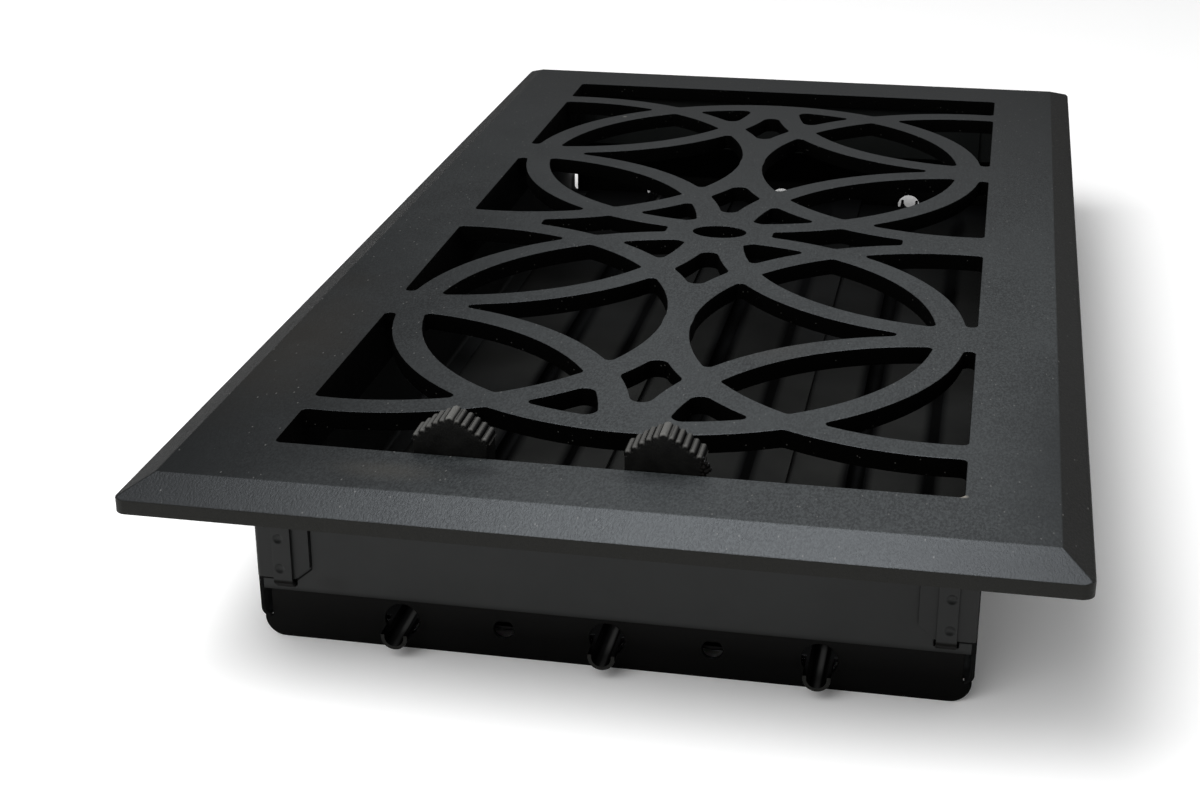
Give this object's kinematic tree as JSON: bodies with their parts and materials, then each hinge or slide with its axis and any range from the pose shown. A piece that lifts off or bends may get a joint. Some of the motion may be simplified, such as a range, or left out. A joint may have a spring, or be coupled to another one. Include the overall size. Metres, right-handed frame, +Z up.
{
  "type": "floor register",
  "caption": "Floor register: pierced cast face plate with overlapping-circle tracery over a folded sheet damper box with lever-turned louver blades.",
  "frame": {"origin": "middle of the footprint, on the lower edges of the two end plates, which it stands on", "axes": "+Z up through the face, +Y along the length away from the finger levers, +X across to the right seen from the lever end"},
  "size_m": [0.18, 0.345, 0.0501],
  "materials": {
    "grille_coat": "powder coated, fine sandy matt black",
    "collar_paint": "satin black paint on sheet steel",
    "end_plate_paint": "satin black paint on sheet steel",
    "blade_paint": "satin black paint on sheet steel",
    "lever_paint": "satin black paint on steel strip",
    "grip_plastic": "moulded, satin on the ribs",
    "fastener_black": "black oxide"
  },
  "bodies": {
    "frame": {"face_grille": "grille_coat", "collar_left_side": "collar_paint", "collar_right_side": "collar_paint", "collar_near_end": "collar_paint", "collar_far_end": "collar_paint", "near_end_plate": "end_plate_paint", "far_end_plate": "end_plate_paint", "collar_screws": "fastener_black"},
    "left_blade": {"left_blade": "blade_paint", "left_lever": "lever_paint", "left_lever_rivets": "fastener_black", "left_grip": "grip_plastic"},
    "middle_blade": {"middle_blade": "blade_paint", "right_lever": "lever_paint", "right_lever_rivets": "fastener_black", "right_grip": "grip_plastic", "middle_link_pin": "fastener_black"},
    "right_blade": {"right_blade": "blade_paint", "right_link_pin": "fastener_black"},
    "link_bar": {"link_bar": "lever_paint"}
  },
  "joints": [
    {"name": "left_blade_pivot", "type": "hinge", "parent": "frame", "child": "left_blade", "pos_m": [-0.04165, 0, 0.0055], "axis": [0, -1, 0], "range_deg": [0, 36]},
    {"name": "middle_blade_pivot", "type": "hinge", "parent": "frame", "child": "middle_blade", "pos_m": [0, 0, 0.0055], "axis": [0, -1, 0], "range_deg": [0, 36]},
    {"name": "right_blade_pivot", "type": "hinge", "parent": "frame", "child": "right_blade", "pos_m": [0.04165, 0, 0.0055], "axis": [0, -1, 0], "range_deg": [0, 36]},
    {"name": "link_bar_pivot", "type": "hinge", "parent": "middle_blade", "child": "link_bar", "pos_m": [0.023, -0.1185, 0.0145], "axis": [0, -1, 0], "range_deg": [-36, 0]}
  ],
  "couplings": [
    {"joint": "right_blade_pivot", "follows": "middle_blade_pivot", "ratio": 1},
    {"joint": "link_bar_pivot", "follows": "middle_blade_pivot", "ratio": -1}
  ]
}
